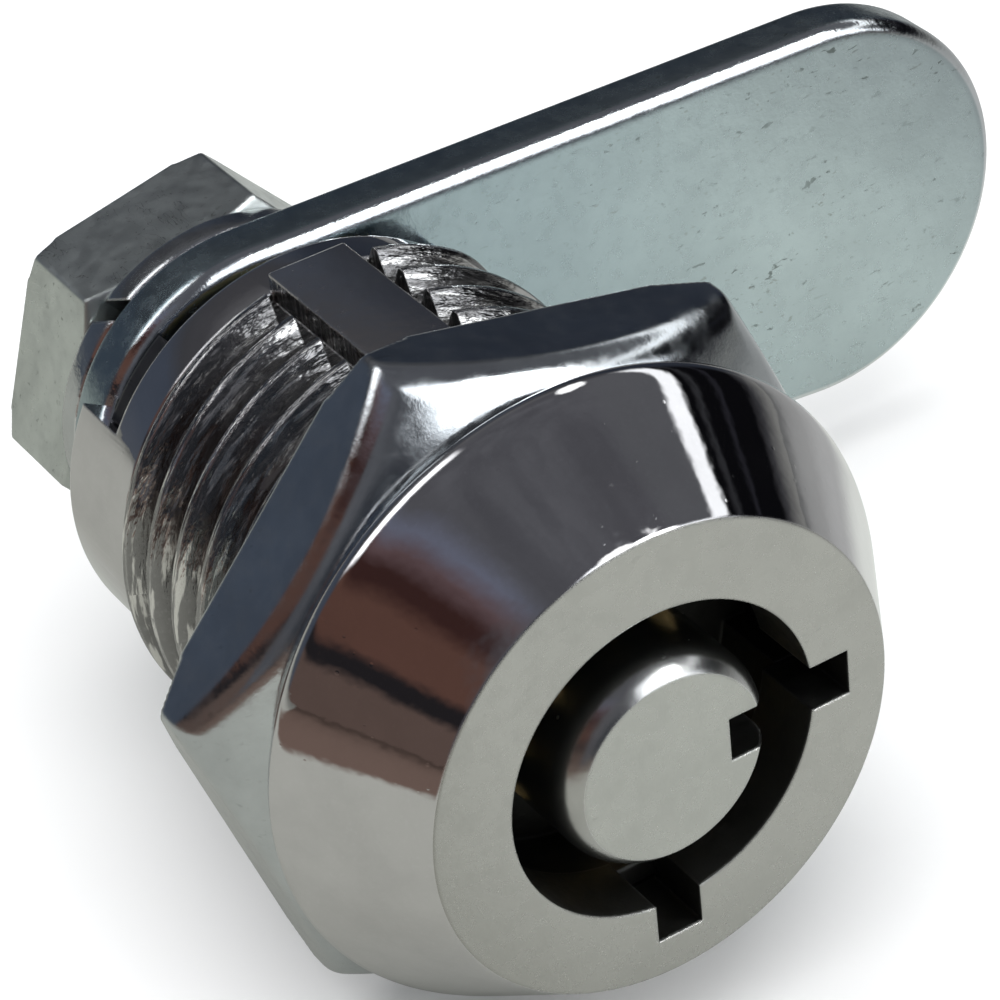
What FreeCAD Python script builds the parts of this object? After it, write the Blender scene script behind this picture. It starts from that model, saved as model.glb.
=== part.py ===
import FreeCAD, Part
import math
import os

from FreeCAD import Vector

# Tubular (axial pin) cam lock, in millimetres.
# The lock's axis is Y: the key goes in from the front, along +Y, and the cam is at the rear.
# +X is to the right seen from the front and +Z is up.
# The origin is on the axis, in the back face of the head, which is the panel seat.
# Angles are about the axis, counterclockwise seen from the front, with 0 at +X (3 o'clock).

# Conical head and keyhole
HEAD_FRONT_R = 7.5
HEAD_BACK_R = 10.1
HEAD_DEPTH = 4.6
HEAD_EDGE = 0.45
FACE_EDGE = 0.12
KEYHOLE_R = 5.0
LIP_DEPTH = 2.4
NIB_NOTCH_WIDTH = 1.5
NIB_NOTCH_R = 6.25
NIB_NOTCH_ANGLES = (0.0, -90.0)

# Barrel: M16 x 1.5 thread, smooth collar at the rear, two flat-topped lands
THREAD_R = 8.0
THREAD_PITCH = 1.5
THREAD_ROOT_R = 7.12
THREAD_TURNS = 8
THREAD_END_ANGLE = 40.0
THREAD_END_GAP = 0.4
BARREL_LENGTH = 14.6
COLLAR_R = 7.4
COLLAR_LENGTH = 1.6
BORE_R = 6.3
LAND_WIDTH = 2.65
LAND_TOP = 7.87
LAND_GROOVE = 0.55

# Stop skirt behind the barrel, and the quarter turn that it allows
SKIRT_DEPTH = 2.05
SKIRT_START = 150.0
TURN = 90.0
STOP_TAB_ANGLE = 25.0
STOP_PLAY_ANGLE = 0.4

# Spindle: keyed post, drum with the key pins, stem, squared and threaded tail
POST_R = 3.44
POST_FLAT_R = 2.94
POST_PROUD = 0.4
POST_DOME = 1.04
POST_NOTCH_WIDTH = 1.45
POST_NOTCH_FLOOR = 1.9
POST_NOTCH_DEPTH = 3.4
DRUM_R = 6.22
KEYWAY_R = 5.45
KEYWAY_FLOOR_Y = 0.4
SHEAR_Y = 4.0
STEM_R = 3.4
TAIL_SQUARE = 5.0
TAIL_PITCH = 1.0
TAIL_TURNS = 8
TAIL_ROOT_R = 2.87

# Seven pin stacks at 45 degree steps, with the key's nib in the eighth place
PIN_R = 0.7
PIN_HOLE_R = 0.75
PIN_CIRCLE_R = 4.55
PIN_STEP = 45.0
PIN_LIFTS = (0.8, 1.6, 0.4, 1.2, 2.0, 0.8, 1.2)
PIN_EDGE = 0.18
DRIVER_LENGTH = 2.6
SPRING_WIRE_R = 0.09
SPRING_COIL_R = 0.52
SPRING_PITCH = 0.62
SPRING_TURNS = 9

# Fixed pin carrier and the cross pin that holds it in the barrel
CARRIER_R = 6.28
CARRIER_BORE_R = 3.45
CARRIER_REAR_Y = 13.9
CROSS_PIN_R = 0.9
CROSS_PIN_Y = 9.0
CROSS_PIN_INNER = 4.3
CROSS_PIN_OUTER = 7.05

# Mounting nut: 20 mm across flats, run up to the head
MOUNT_NUT_FLATS = 20.0
MOUNT_NUT_THICKNESS = 3.88
MOUNT_NUT_PHASE = -12.0
MOUNT_NUT_BORE_R = 8.04

# The mounting nut's travel along the thread, towards the collar
NUT_TRAVEL = 8.8

# Rear stack on the spindle's tail: stop washer, cam, spring washer, nut
STOP_WASHER_R = 5.0
STOP_TAB_R = 7.0
STOP_TAB_THICKNESS = 0.8
STOP_WASHER_SQUARE = 5.1
CAM_THICKNESS = 2.0
CAM_HUB_R = 6.2
CAM_TIP_R = 7.0
CAM_REACH = 21.3
CAM_SQUARE = 5.34
CAM_ANGLE = -3.3
CAM_FRONT_EDGE = 0.6
CAM_REAR_EDGE = 0.3
SPRING_WASHER_R = 6.0
SPRING_WASHER_BORE_R = 3.75
SPRING_WASHER_THICKNESS = 1.1
SPRING_WASHER_SPLIT = 0.7
SPRING_WASHER_SPLIT_ANGLE = 130.0
CAM_NUT_FLATS = 11.0
CAM_NUT_THICKNESS = 4.0
CAM_NUT_PHASE = 12.2
CAM_NUT_BORE_R = 3.43
TAIL_PROUD = 0.7

# Corner chamfers of the nuts: radius inside the chamfer over the width across flats, and its slope.
# The mounting nut is deeply chamfered on the side that meets the head, and nearly plain behind.
MOUNT_NUT_FRONT_FACE = 0.425
MOUNT_NUT_FRONT_SLOPE = 35.0
PLAIN_NUT_FACE = 0.54
PLAIN_NUT_SLOPE = 30.0

# Gaps between neighbours that touch or run on each other
GAP = 0.04
HAIR_GAP = 0.02

# Places along the axis that follow from the sizes above
FACE_Y = -HEAD_DEPTH
LIP_REAR_Y = FACE_Y + LIP_DEPTH
DRUM_FRONT_Y = LIP_REAR_Y + GAP
CARRIER_FRONT_Y = SHEAR_Y + 0.05
COLLAR_FRONT_Y = BARREL_LENGTH - COLLAR_LENGTH
SKIRT_REAR_Y = BARREL_LENGTH + SKIRT_DEPTH
STOP_FRONT_Y = BARREL_LENGTH + 0.1
CAM_FRONT_Y = SKIRT_REAR_Y + 0.13
STOP_REAR_Y = CAM_FRONT_Y - HAIR_GAP
CAM_REAR_Y = CAM_FRONT_Y + CAM_THICKNESS
WASHER_FRONT_Y = CAM_REAR_Y + HAIR_GAP
WASHER_REAR_Y = WASHER_FRONT_Y + SPRING_WASHER_THICKNESS
CAM_NUT_FRONT_Y = WASHER_REAR_Y + HAIR_GAP
CAM_NUT_REAR_Y = CAM_NUT_FRONT_Y + CAM_NUT_THICKNESS
TAIL_END_Y = CAM_NUT_REAR_Y + TAIL_PROUD
DRIVER_REAR_Y = CARRIER_FRONT_Y + DRIVER_LENGTH
SPRING_LENGTH = SPRING_PITCH * SPRING_TURNS
SPRING_HOLE_Y = DRIVER_REAR_Y + SPRING_LENGTH + 2 * SPRING_WIRE_R + 2 * HAIR_GAP

CENTRE = Vector(0, 0, 0)
REARWARD = Vector(0, 1, 0)
TURN_AXIS = Vector(0, -1, 0)


def polar(radius, angle, y=0.0):
    """A point at a radius and an angle about the axis."""
    a = math.radians(angle)
    return Vector(radius * math.cos(a), y, radius * math.sin(a))


def disc(radius, y0, y1):
    """A round bar on the axis from y0 to y1."""
    return Part.makeCylinder(radius, y1 - y0, Vector(0, y0, 0), REARWARD)


def bar(radius, x, z, y0, y1):
    """A round bar parallel to the axis."""
    return Part.makeCylinder(radius, y1 - y0, Vector(x, y0, z), REARWARD)


def turned_from(edges):
    """A solid of revolution about the axis, from a closed outline of edges in the XY plane."""
    return Part.Face(Part.Wire(edges)).revolve(CENTRE, REARWARD, 360)


def turned(points):
    """A solid of revolution from straight-sided (radius, y) points."""
    corners = [Vector(r, y, 0) for r, y in points]
    corners.append(corners[0])
    return Part.Face(Part.makePolygon(corners)).revolve(CENTRE, REARWARD, 360)


def spun(shape, angle):
    """A copy turned about the axis, counterclockwise seen from the front."""
    copy = shape.copy()
    copy.rotate(CENTRE, TURN_AXIS, angle)
    return copy


def sector(r_in, r_out, y0, y1, start, span):
    """Part of a ring, from an angle and through a span of angles."""
    corners = [Vector(r_in, y0, 0), Vector(r_out, y0, 0), Vector(r_out, y1, 0), Vector(r_in, y1, 0)]
    corners.append(corners[0])
    face = Part.Face(Part.makePolygon(corners))
    return spun(face.revolve(CENTRE, TURN_AXIS, span), start)


def radial_slot(width, r_in, r_out, y0, y1, angle):
    """A straight-sided cutter that runs outward from the axis."""
    box = Part.makeBox(r_out - r_in, y1 - y0, width, Vector(r_in, y0, -width / 2))
    return spun(box, angle)


def square_bar(side, y0, y1):
    """A square bar on the axis."""
    return Part.makeBox(side, y1 - y0, side, Vector(-side / 2, y0, -side / 2))


def thread_ridge(root_r, crest_r, pitch, turns, end_y, end_angle):
    """One right-hand helical ridge whose last turn ends at end_y and end_angle."""
    sunk = 0.12
    half_root = 0.46 * pitch
    half_crest = 0.07 * pitch
    helix = Part.makeHelix(pitch, pitch * turns, root_r)
    outline = [
        Vector(root_r - sunk, 0, -half_root),
        Vector(crest_r, 0, -half_crest),
        Vector(crest_r, 0, half_crest),
        Vector(root_r - sunk, 0, half_root),
    ]
    outline.append(outline[0])
    ridge = Part.Wire(helix.Edges).makePipeShell([Part.makePolygon(outline)], True, True)
    ridge.rotate(CENTRE, Vector(1, 0, 0), -90)
    ridge = spun(ridge, end_angle)
    ridge.translate(Vector(0, end_y - pitch * turns, 0))
    return ridge


def hex_prism(across_flats, y0, y1, phase):
    """A hexagonal bar with one corner at the phase angle."""
    corner_r = across_flats / math.sqrt(3)
    corners = [polar(corner_r, phase + 60 * k, y0) for k in range(7)]
    return Part.Face(Part.makePolygon(corners)).extrude(Vector(0, y1 - y0, 0))


def hex_nut(across_flats, bore_r, y0, y1, phase, front_face=PLAIN_NUT_FACE, front_slope=PLAIN_NUT_SLOPE):
    """A hexagonal nut, its corners chamfered at both ends and its bore countersunk."""
    front_r = front_face * across_flats
    rear_r = PLAIN_NUT_FACE * across_flats
    corner_r = across_flats / math.sqrt(3) + 0.2
    front_depth = math.tan(math.radians(front_slope)) * (corner_r - front_r)
    rear_depth = math.tan(math.radians(PLAIN_NUT_SLOPE)) * (corner_r - rear_r)
    sink = 0.35
    envelope = turned([
        (0, y0), (front_r, y0), (corner_r, y0 + front_depth),
        (corner_r, y1 - rear_depth), (rear_r, y1), (0, y1),
    ])
    bore = turned([
        (0, y0), (bore_r + sink, y0), (bore_r, y0 + sink),
        (bore_r, y1 - sink), (bore_r + sink, y1), (0, y1),
    ])
    return hex_prism(across_flats, y0, y1, phase).common(envelope).cut(bore)


def pin_places():
    """The angle and the shear-line lift of each pin stack."""
    return [(PIN_STEP * (k + 1), lift) for k, lift in enumerate(PIN_LIFTS)]


def head():
    """The solid cone of the head, with slightly rounded front and back edges."""
    slope = (HEAD_BACK_R - HEAD_FRONT_R) / (HEAD_DEPTH - HEAD_EDGE)
    front = Vector(HEAD_FRONT_R - FACE_EDGE, FACE_Y, 0)
    front_mid = Vector(HEAD_FRONT_R, FACE_Y + 0.3 * FACE_EDGE, 0)
    front_end = Vector(HEAD_FRONT_R + slope * FACE_EDGE, FACE_Y + FACE_EDGE, 0)
    eighth = HEAD_EDGE * (1 - math.cos(math.radians(45)))
    rim = Vector(HEAD_BACK_R, -HEAD_EDGE, 0)
    rim_mid = Vector(HEAD_BACK_R - eighth, -eighth, 0)
    back = Vector(HEAD_BACK_R - HEAD_EDGE, 0, 0)
    return turned_from([
        Part.makeLine(Vector(0, FACE_Y, 0), front),
        Part.Arc(front, front_mid, front_end).toShape(),
        Part.makeLine(front_end, rim),
        Part.Arc(rim, rim_mid, back).toShape(),
        Part.makeLine(back, CENTRE),
        Part.makeLine(CENTRE, Vector(0, FACE_Y, 0)),
    ])


def threaded_barrel():
    """The barrel's outside: threaded length, flat-topped lands top and bottom, rear collar."""
    core = disc(THREAD_ROOT_R, 0, COLLAR_FRONT_Y + 0.1)
    thread_end_y = COLLAR_FRONT_Y - THREAD_END_GAP
    ridge = thread_ridge(
        THREAD_ROOT_R, THREAD_R, THREAD_PITCH, THREAD_TURNS, thread_end_y, THREAD_END_ANGLE)
    barrel = core.fuse(ridge)
    clearing = LAND_WIDTH + 2 * LAND_GROOVE
    for angle in (90, -90):
        floor = THREAD_ROOT_R - 0.15
        slot = Part.makeBox(
            2, COLLAR_FRONT_Y + 2, clearing, Vector(floor, -1, -clearing / 2))
        barrel = barrel.cut(spun(slot, angle))
        land = Part.makeBox(
            LAND_TOP - BORE_R, COLLAR_FRONT_Y, LAND_WIDTH, Vector(BORE_R, 0, -LAND_WIDTH / 2))
        barrel = barrel.fuse(spun(land, angle))
    edge = 0.2
    collar = turned([
        (0, COLLAR_FRONT_Y), (COLLAR_R, COLLAR_FRONT_Y), (COLLAR_R, BARREL_LENGTH - edge),
        (COLLAR_R - edge, BARREL_LENGTH), (0, BARREL_LENGTH),
    ])
    return barrel.fuse(collar)


def housing():
    """Die-cast case: conical head, keyhole lip, threaded barrel and rear stop skirt."""
    body = threaded_barrel().fuse(head())
    skirt_span = 360 - TURN - STOP_TAB_ANGLE
    skirt = sector(BORE_R, COLLAR_R, BARREL_LENGTH - 0.4, SKIRT_REAR_Y, SKIRT_START, skirt_span)
    body = body.fuse(skirt)
    body = body.cut(disc(KEYHOLE_R, FACE_Y - 1, LIP_REAR_Y + 1))
    body = body.cut(disc(BORE_R, LIP_REAR_Y, SKIRT_REAR_Y + 1))
    for angle in NIB_NOTCH_ANGLES:
        notch = radial_slot(NIB_NOTCH_WIDTH, 3, NIB_NOTCH_R, FACE_Y - 1, LIP_REAR_Y + 0.1, angle)
        body = body.cut(notch)
    cross_hole = Part.makeCylinder(
        CROSS_PIN_R + HAIR_GAP, 4, Vector(BORE_R - 1, CROSS_PIN_Y, 0), Vector(1, 0, 0))
    return body.cut(cross_hole).removeSplitter()


def post_and_drum():
    """The front of the spindle: the domed keyed post inside the drum's keyway ring."""
    top_y = FACE_Y - POST_PROUD
    shoulder_y = top_y + POST_DOME
    side_step = POST_R - POST_FLAT_R
    dome_r = (side_step ** 2 + POST_DOME ** 2) / (2 * side_step)
    middle = 0.5 * math.asin(POST_DOME / dome_r)
    dome_mid = Vector(
        POST_R - dome_r * (1 - math.cos(middle)), shoulder_y - dome_r * math.sin(middle), 0)
    corners = [
        (POST_R, shoulder_y), (POST_R, KEYWAY_FLOOR_Y), (KEYWAY_R, KEYWAY_FLOOR_Y),
        (KEYWAY_R, DRUM_FRONT_Y), (DRUM_R, DRUM_FRONT_Y), (DRUM_R, SHEAR_Y), (0, SHEAR_Y),
        (0, top_y), (POST_FLAT_R, top_y),
    ]
    points = [Vector(r, y, 0) for r, y in corners]
    edges = [Part.makeLine(a, b) for a, b in zip(points, points[1:])]
    edges.append(Part.Arc(points[-1], dome_mid, points[0]).toShape())
    return turned_from(edges)


def tail():
    """The squared tail: flats for the stop washer and cam, thread on its corners for the nut."""
    start_y = BARREL_LENGTH - 1
    overrun = 0.3
    chamfer = 0.45
    core = disc(TAIL_ROOT_R, start_y, TAIL_END_Y + 1)
    ridge = thread_ridge(TAIL_ROOT_R, STEM_R, TAIL_PITCH, TAIL_TURNS, TAIL_END_Y + overrun, 0)
    plain = disc(STEM_R, start_y, CAM_FRONT_Y)
    envelope = turned([
        (0, start_y), (STEM_R + overrun, start_y),
        (STEM_R + overrun, TAIL_END_Y - chamfer - overrun), (STEM_R - chamfer, TAIL_END_Y),
        (0, TAIL_END_Y),
    ])
    rod = core.fuse(ridge).fuse(plain).common(envelope)
    return rod.common(square_bar(TAIL_SQUARE, start_y, TAIL_END_Y + 1))


def spindle():
    """One turning piece from the keyed post to the threaded tail."""
    body = post_and_drum()
    body = body.fuse(disc(STEM_R, SHEAR_Y - 1, BARREL_LENGTH - 0.02)).fuse(tail())
    notch_end_y = FACE_Y - POST_PROUD + POST_NOTCH_DEPTH
    post_notch = radial_slot(
        POST_NOTCH_WIDTH, POST_NOTCH_FLOOR, POST_R + 0.6, FACE_Y - 2, notch_end_y, 0)
    nib_slot = radial_slot(
        NIB_NOTCH_WIDTH, KEYWAY_R - 0.4, DRUM_R + 1, DRUM_FRONT_Y - 1, KEYWAY_FLOOR_Y, 0)
    body = body.cut(post_notch).cut(nib_slot)
    for angle, _ in pin_places():
        place = polar(PIN_CIRCLE_R, angle)
        body = body.cut(bar(PIN_HOLE_R, place.x, place.z, KEYWAY_FLOOR_Y - 1, SHEAR_Y + 1))
    return body.removeSplitter()


def pin_carrier():
    """Fixed sleeve behind the drum, with a blind hole for each driver pin and spring."""
    body = disc(CARRIER_R, CARRIER_FRONT_Y, CARRIER_REAR_Y)
    body = body.cut(disc(CARRIER_BORE_R, CARRIER_FRONT_Y - 1, CARRIER_REAR_Y + 1))
    for angle, _ in pin_places():
        place = polar(PIN_CIRCLE_R, angle)
        body = body.cut(bar(PIN_HOLE_R, place.x, place.z, CARRIER_FRONT_Y - 1, SPRING_HOLE_Y))
    socket = Part.makeCylinder(
        CROSS_PIN_R + HAIR_GAP, 4, Vector(CROSS_PIN_INNER - 0.1, CROSS_PIN_Y, 0), Vector(1, 0, 0))
    return body.cut(socket)


def retaining_pin():
    """Cross pin, from the barrel's thread root into the carrier."""
    length = CROSS_PIN_OUTER - CROSS_PIN_INNER
    pin = Part.makeCylinder(CROSS_PIN_R, length, Vector(CROSS_PIN_INNER, CROSS_PIN_Y, 0), Vector(1, 0, 0))
    return pin.makeChamfer(0.15, [pin.Edges[0], pin.Edges[2]])


def round_pin(angle, y0, y1, front_edge):
    """One pin of a stack, its front nose and rear edge chamfered."""
    pin = turned([
        (0, y0), (PIN_R - front_edge, y0), (PIN_R, y0 + front_edge),
        (PIN_R, y1 - PIN_EDGE), (PIN_R - PIN_EDGE, y1), (0, y1),
    ])
    pin.translate(polar(PIN_CIRCLE_R, angle))
    return pin


def key_pin(angle, lift):
    """A key pin with its rear end at the shear line; its nose stands in the keyway."""
    nose_y = LIP_REAR_Y + HAIR_GAP + lift
    return round_pin(angle, nose_y, SHEAR_Y, 2 * PIN_EDGE)


def driver_pin(angle):
    """A driver pin with its front end just behind the shear line."""
    return round_pin(angle, CARRIER_FRONT_Y, DRIVER_REAR_Y, PIN_EDGE)


def pin_spring(angle):
    """The coil spring between a driver pin and the end of its hole."""
    helix = Part.makeHelix(SPRING_PITCH, SPRING_LENGTH, SPRING_COIL_R)
    wire = Part.makeCircle(SPRING_WIRE_R, Vector(SPRING_COIL_R, 0, 0), REARWARD)
    spring = Part.Wire(helix.Edges).makePipeShell([Part.Wire(wire)], True, True)
    spring.rotate(CENTRE, Vector(1, 0, 0), -90)
    spring.translate(polar(PIN_CIRCLE_R, angle, DRIVER_REAR_Y + HAIR_GAP + SPRING_WIRE_R))
    return spring


def stop_washer():
    """Thick washer on the square tail whose thin tab swings between the two ends of the skirt."""
    body = disc(STOP_WASHER_R, STOP_FRONT_Y, STOP_REAR_Y)
    tab_start = SKIRT_START - STOP_TAB_ANGLE + STOP_PLAY_ANGLE
    tab = sector(
        STOP_WASHER_R - 1, STOP_TAB_R, STOP_FRONT_Y, STOP_FRONT_Y + STOP_TAB_THICKNESS,
        tab_start, STOP_TAB_ANGLE - 2 * STOP_PLAY_ANGLE)
    body = body.fuse(tab).removeSplitter()
    return body.cut(square_bar(STOP_WASHER_SQUARE, STOP_FRONT_Y - 1, STOP_REAR_Y + 1))


def cam_outline(y):
    """The cam's edge: hub arc, tip arc and the two straight sides between them."""
    lean = math.degrees(math.asin((CAM_TIP_R - CAM_HUB_R) / CAM_REACH))
    tip = Vector(CAM_REACH, 0, 0)
    hub_low = polar(CAM_HUB_R, -90 - lean, y)
    hub_high = polar(CAM_HUB_R, 90 + lean, y)
    tip_low = polar(CAM_TIP_R, -90 - lean, y) + tip
    tip_high = polar(CAM_TIP_R, 90 + lean, y) + tip
    return Part.Wire([
        Part.Arc(hub_high, polar(CAM_HUB_R, 180, y), hub_low).toShape(),
        Part.makeLine(hub_low, tip_low),
        Part.Arc(tip_low, polar(CAM_TIP_R, 0, y) + tip, tip_high).toShape(),
        Part.makeLine(tip_high, hub_high),
    ])


def cam():
    """Flat pressed cam with rolled edges, turned by the play on its square hole."""
    blank = Part.Face(cam_outline(CAM_FRONT_Y)).extrude(Vector(0, CAM_THICKNESS, 0))
    front = [e for e in blank.Edges if abs(e.BoundBox.YMax - CAM_FRONT_Y) < 1e-6]
    blank = blank.makeFillet(CAM_FRONT_EDGE, front)
    rear = [e for e in blank.Edges if abs(e.BoundBox.YMin - CAM_REAR_Y) < 1e-6]
    blank = blank.makeFillet(CAM_REAR_EDGE, rear)
    return spun(blank, CAM_ANGLE).cut(square_bar(CAM_SQUARE, CAM_FRONT_Y - 1, CAM_REAR_Y + 1))


def spring_washer():
    """Split spring washer between the cam and its nut."""
    edge = 0.15
    body = turned([
        (SPRING_WASHER_BORE_R, WASHER_FRONT_Y), (SPRING_WASHER_R - edge, WASHER_FRONT_Y),
        (SPRING_WASHER_R, WASHER_FRONT_Y + edge), (SPRING_WASHER_R, WASHER_REAR_Y - edge),
        (SPRING_WASHER_R - edge, WASHER_REAR_Y), (SPRING_WASHER_BORE_R, WASHER_REAR_Y),
    ])
    split = Part.makeBox(
        SPRING_WASHER_R, 4, SPRING_WASHER_SPLIT, Vector(1, WASHER_FRONT_Y - 1.5, -SPRING_WASHER_SPLIT / 2))
    split.rotate(Vector(0, WASHER_FRONT_Y + 0.5, 0), Vector(1, 0, 0), 30)
    return body.cut(spun(split, SPRING_WASHER_SPLIT_ANGLE))


def mounting_nut():
    """Large hexagonal nut on the barrel, run up to the back of the head."""
    return hex_nut(
        MOUNT_NUT_FLATS, MOUNT_NUT_BORE_R, HAIR_GAP, MOUNT_NUT_THICKNESS, MOUNT_NUT_PHASE,
        MOUNT_NUT_FRONT_FACE, MOUNT_NUT_FRONT_SLOPE)


def cam_nut():
    """Small hexagonal nut that clamps the cam on the tail."""
    return hex_nut(CAM_NUT_FLATS, CAM_NUT_BORE_R, CAM_NUT_FRONT_Y, CAM_NUT_REAR_Y, CAM_NUT_PHASE)


def build():
    """Every piece of the lock, by name."""
    pieces = {
        "housing": housing(),
        "mounting_nut": mounting_nut(),
        "spindle": spindle(),
        "pin_carrier": pin_carrier(),
        "retaining_pin": retaining_pin(),
        "stop_washer": stop_washer(),
        "cam": cam(),
        "spring_washer": spring_washer(),
        "cam_nut": cam_nut(),
    }
    for number, (angle, lift) in enumerate(pin_places(), 1):
        pieces["key_pin_%d" % number] = key_pin(angle, lift)
        pieces["driver_pin_%d" % number] = driver_pin(angle)
        pieces["pin_spring_%d" % number] = pin_spring(angle)
    return pieces


os.makedirs("parts", exist_ok=True)
for name, shape in build().items():
    shape.exportStep("parts/%s.step" % name)
    print(name, shape.ShapeType, len(shape.Solids), shape.isValid(), round(shape.Volume, 3))
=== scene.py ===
import math

import bmesh
import bpy
from mathutils import Matrix, Vector


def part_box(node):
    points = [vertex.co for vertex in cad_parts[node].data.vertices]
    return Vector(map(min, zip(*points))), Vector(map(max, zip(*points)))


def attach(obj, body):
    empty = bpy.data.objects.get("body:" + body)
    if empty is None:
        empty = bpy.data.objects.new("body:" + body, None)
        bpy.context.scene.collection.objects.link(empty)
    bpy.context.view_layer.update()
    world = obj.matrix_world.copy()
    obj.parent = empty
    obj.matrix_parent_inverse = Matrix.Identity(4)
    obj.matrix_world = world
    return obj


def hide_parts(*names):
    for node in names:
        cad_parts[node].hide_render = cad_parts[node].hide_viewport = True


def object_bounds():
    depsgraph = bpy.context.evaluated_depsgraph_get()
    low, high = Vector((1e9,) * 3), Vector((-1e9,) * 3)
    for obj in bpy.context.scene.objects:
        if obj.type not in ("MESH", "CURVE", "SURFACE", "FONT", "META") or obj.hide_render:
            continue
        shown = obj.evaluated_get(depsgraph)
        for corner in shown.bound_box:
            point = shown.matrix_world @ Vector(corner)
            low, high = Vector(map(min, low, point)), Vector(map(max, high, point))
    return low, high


# Looks for a tubular cam lock. Lengths in this file are in millimetres in the CAD frame:
# the lock's axis is Y, its front faces -Y, +X is to the right seen from the front, +Z is up.
# Angles are about the axis, counterclockwise seen from the front, with 0 at +X.

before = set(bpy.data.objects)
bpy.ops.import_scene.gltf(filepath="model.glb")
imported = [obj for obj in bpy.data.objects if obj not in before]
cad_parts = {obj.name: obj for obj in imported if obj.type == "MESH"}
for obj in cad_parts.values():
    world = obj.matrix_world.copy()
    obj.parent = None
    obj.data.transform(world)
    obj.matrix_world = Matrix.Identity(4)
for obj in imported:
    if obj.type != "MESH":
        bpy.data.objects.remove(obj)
cad_low, cad_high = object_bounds()
MM = 0.001


def span_y(node):
    """Front and rear of a CAD node along the lock's axis, in millimetres."""
    low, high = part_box(node)
    return low.y / MM, high.y / MM


FACE_Y, SKIRT_REAR_Y = span_y("housing")
NUT_FRONT_Y, NUT_REAR_Y = span_y("mounting_nut")
CAM_FRONT_Y, CAM_REAR_Y = span_y("cam")
WASHER_FRONT_Y, WASHER_REAR_Y = span_y("spring_washer")
CAM_NUT_FRONT_Y, CAM_NUT_REAR_Y = span_y("cam_nut")
POST_TOP_Y, TAIL_END_Y = span_y("spindle")

# Case
HEAD_FRONT_R = 7.5
HEAD_BACK_R = 10.1
HEAD_EDGE = 0.45
KEYHOLE_R = 5.0
LIP_THICKNESS = 2.4
LIP_REAR_Y = FACE_Y + LIP_THICKNESS
NOTCH_WIDTH = 1.5
NOTCH_R = 6.25
NOTCH_ANGLES = (0, -90)
BORE_R = 6.3
THREAD_R = 8.0
THREAD_ROOT_R = 7.12
THREAD_PITCH = 1.5
THREAD_TURNS = 8
THREAD_END_ANGLE = 25
THREAD_END_GAP = 0.4
THREAD_FOOT_DEPTH = 0.12
COLLAR_R = 7.4
SKIRT_LENGTH = 2.05
COLLAR_LENGTH = 1.6
BARREL_END_Y = SKIRT_REAR_Y - SKIRT_LENGTH
COLLAR_FRONT_Y = BARREL_END_Y - COLLAR_LENGTH
LAND_WIDTH = 2.65
LAND_TOP = 7.87
LAND_GROOVE = 0.55
LAND_ANGLES = (90, -90)
SKIRT_START = 150
SKIRT_SPAN = 245
CROSS_PIN_Y = 9.0
CROSS_PIN_R = 0.92

# Spindle
POST_R = 3.44
POST_FLAT_R = 2.94
POST_DOME = 1.04
POST_NOTCH_WIDTH = 1.45
POST_NOTCH_FLOOR = 1.9
POST_NOTCH_DEPTH = 3.4
DRUM_R = 6.22
DRUM_FRONT_Y = LIP_REAR_Y + 0.04
KEYWAY_R = 5.45
KEYWAY_FLOOR_Y = 0.4
SHEAR_Y = 4.0
STEM_R = 3.4
TAIL_SQUARE = 5.0
TAIL_ROOT_R = 2.87
TAIL_PITCH = 1.0
TAIL_TURNS = 7
TAIL_THREAD_GAP = 0.55
PIN_CIRCLE_R = 4.55
PIN_HOLE_R = 0.75
PIN_ANGLES = range(45, 316, 45)

# Nuts, cam and washer
MOUNT_NUT_FLATS = 20.0
MOUNT_NUT_BORE_R = 8.04
MOUNT_NUT_CREST = 0.7
MOUNT_NUT_PHASE = -12.0
MOUNT_NUT_FRONT_FACE = 0.425
MOUNT_NUT_FRONT_CURVE = (0.46, 0.09)
CAM_NUT_FLATS = 11.0
CAM_NUT_BORE_R = 3.43
CAM_NUT_CREST = 0.12
CAM_NUT_PHASE = 12.2
PLAIN_NUT_FACE = 0.54
PLAIN_NUT_SLOPE = 30
PLAIN_NUT_CURVE = (0.55, 0.02)
CAM_HUB_R = 6.2
CAM_TIP_R = 7.0
CAM_REACH = 21.3
CAM_ANGLE = -3.3
CAM_SQUARE = 5.34
WASHER_R = 6.0
WASHER_BORE_R = 3.75
WASHER_SPLIT_ANGLE = 130

# How close to a surface a face counts as lying on it
ON_SURFACE = 0.02


# ---------------------------------------------------------------- mesh helpers

def spot(radius, angle, y):
    """A point in metres from a radius and an angle about the lock's axis."""
    a = math.radians(angle)
    return Vector((radius * math.cos(a), y, radius * math.sin(a))) * MM


def to_object(name, bm):
    """A mesh object from a bmesh, its faces turned outward."""
    bmesh.ops.recalc_face_normals(bm, faces=bm.faces)
    mesh = bpy.data.meshes.new(name)
    bm.to_mesh(mesh)
    bm.free()
    obj = bpy.data.objects.new(name, mesh)
    bpy.context.scene.collection.objects.link(obj)
    return obj


def join_loops(bm, loops):
    """Quads between neighbouring loops of vertices; a loop of one vertex makes a fan."""
    for one, two in zip(loops, loops[1:]):
        count = max(len(one), len(two))
        if count == 1:
            continue
        for k in range(count):
            n = (k + 1) % count
            if len(one) == 1:
                bm.faces.new((one[0], two[k], two[n]))
            elif len(two) == 1:
                bm.faces.new((one[k], two[0], one[n]))
            else:
                bm.faces.new((one[k], two[k], two[n], one[n]))


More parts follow.
